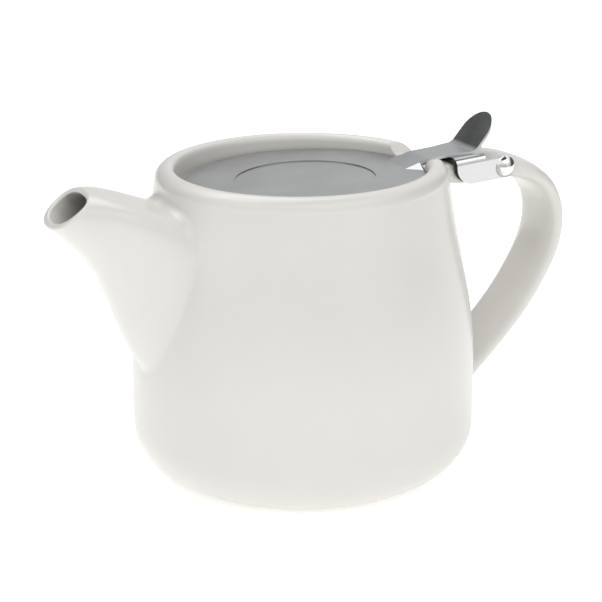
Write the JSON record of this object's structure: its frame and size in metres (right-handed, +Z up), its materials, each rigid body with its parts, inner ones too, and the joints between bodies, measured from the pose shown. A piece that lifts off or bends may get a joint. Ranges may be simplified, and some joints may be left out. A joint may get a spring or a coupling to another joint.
{
  "type": "teapot with infuser",
  "caption": "Straight-sided ceramic teapot with a stub spout and strap handle, a hinged steel lid with a thumb lever, and a lift-out steel infuser basket.",
  "frame": {"origin": "on the pot's vertical axis, at the plane of the foot ring it stands on", "axes": "+Z up, +X from the pot to the handle (the spout points to -X), +Y across, along the hinge pin"},
  "size_m": [0.1737, 0.1082, 0.1078],
  "materials": {
    "glazed_stoneware": "warm white gloss glaze, foot ring bare",
    "lid_steel": "fine brushed, satin",
    "bracket_steel": "bright satin",
    "polished_steel": "mirror polished",
    "liner_plastic": "black, matt",
    "plain_plastic": "natural nylon, matt",
    "infuser_steel": "bright annealed, satin"
  },
  "bodies": {
    "pot": {"teapot_body": "glazed_stoneware", "hinge_bushes": "plain_plastic"},
    "lid": {"lid_plate": "lid_steel", "hinge_bracket": "bracket_steel", "hinge_liner": "liner_plastic", "hinge_pin": "bracket_steel", "pin_heads": "polished_steel"},
    "infuser": {"infuser_collar": "infuser_steel", "infuser_wall": "infuser_steel", "infuser_base_ring": "infuser_steel", "infuser_floor": "infuser_steel"}
  },
  "joints": [
    {"name": "lid_hinge", "type": "hinge", "parent": "pot", "child": "lid", "pos_m": [0.0668, 0, 0.092], "axis": [0, 1, 0], "range_deg": [0, 100]},
    {"name": "infuser_lift", "type": "slide", "parent": "pot", "child": "infuser", "axis": [0, 0, 1], "range_m": [0, 0.0545]}
  ],
  "couplings": [
    {"joint": "infuser_lift", "follows": "lid_hinge", "m_per_rad": 0.031}
  ]
}
